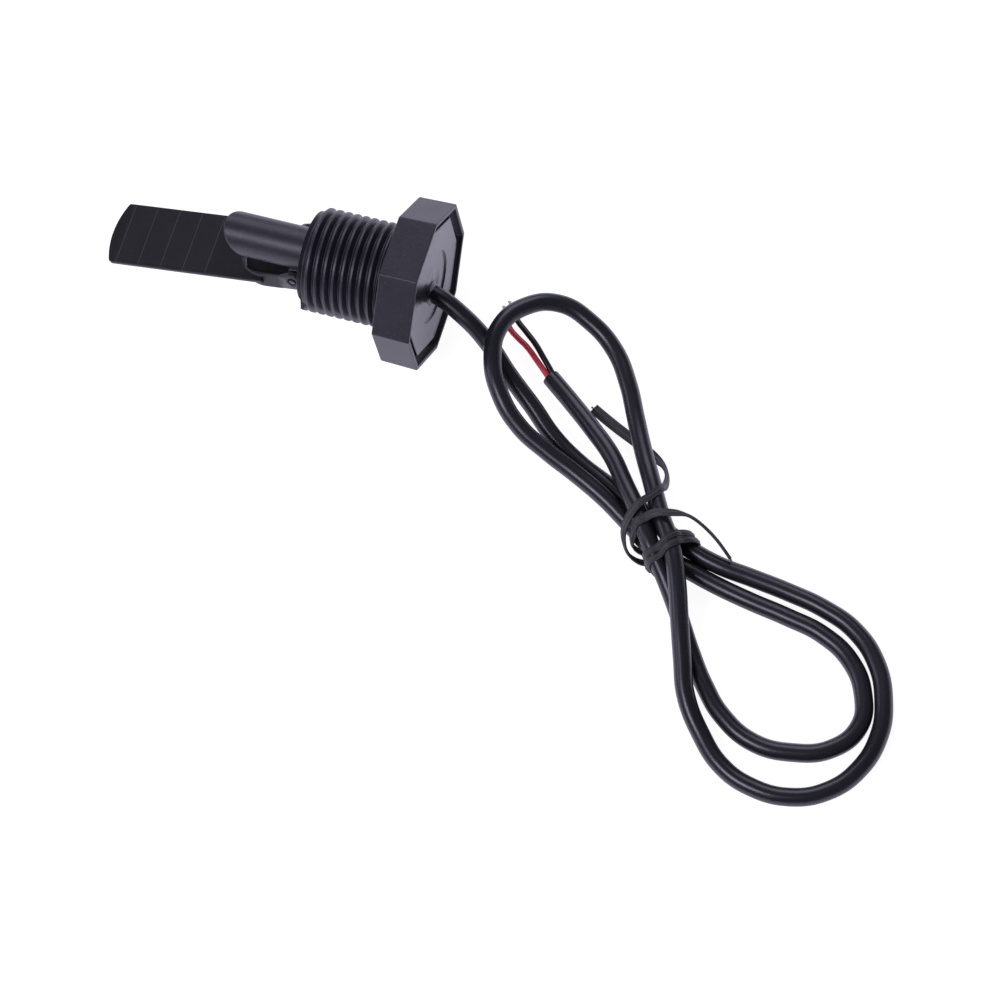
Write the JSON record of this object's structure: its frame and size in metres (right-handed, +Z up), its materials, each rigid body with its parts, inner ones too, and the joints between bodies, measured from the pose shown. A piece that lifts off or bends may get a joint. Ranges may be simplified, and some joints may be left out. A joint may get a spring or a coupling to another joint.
{
  "type": "water level switch",
  "caption": "Side-mounted water level switch: an octagonal threaded head with a reed finger, a hinged magnet paddle and a two-core cable in a twist tie.",
  "frame": {"origin": "middle of the body's box without its cable, on the surface that the head's lower flat rests on", "axes": "+X along the body's axis from the paddle's tip to the head and the cable, +Z up"},
  "size_m": [0.1788, 0.0951, 0.031],
  "materials": {
    "black_housing": "satin moulded plastic",
    "cover_plastic": "glossy moulded plastic",
    "resin": "glossy cast resin",
    "paddle_plastic": "matt moulded plastic",
    "pin_plastic": "satin moulded plastic",
    "magnet": "nickel plating",
    "glass": "clear greenish glass",
    "lead_alloy": "plated nickel iron",
    "solder": "dull tin",
    "sleeve_black": "matt shrink tube",
    "jacket": "satin black jacket",
    "insulation_red": "satin red insulation",
    "insulation_black": "satin black insulation",
    "tie_plastic": "matt ribbed strip",
    "tie_steel": "cut steel wire"
  },
  "bodies": {
    "head": {"housing": "black_housing", "rear_cover": "cover_plastic", "cable_bead": "resin", "potting_resin": "resin", "hinge_pin": "pin_plastic", "reed_glass": "glass", "reed_lead_front": "lead_alloy", "reed_lead_rear": "lead_alloy", "reed_blade_moving": "lead_alloy", "reed_sleeve": "sleeve_black", "solder_joints": "solder", "joint_sleeves": "sleeve_black", "red_lead_inside": "insulation_red", "black_lead_inside": "insulation_black", "cable_jacket": "jacket", "red_wire_tail": "insulation_red", "black_wire_tail": "insulation_black", "wire_tips": "solder", "tie_wraps": "tie_plastic", "tie_tails": "tie_plastic", "tie_wire_ends": "tie_steel"},
    "paddle": {"paddle": "paddle_plastic", "paddle_magnet": "magnet", "magnet_cap": "paddle_plastic"}
  },
  "joints": [
    {"name": "paddle_hinge", "type": "hinge", "parent": "head", "child": "paddle", "pos_m": [0.00765, 0, 0.01649], "axis": [0, 1, 0], "range_deg": [0, 15]}
  ]
}
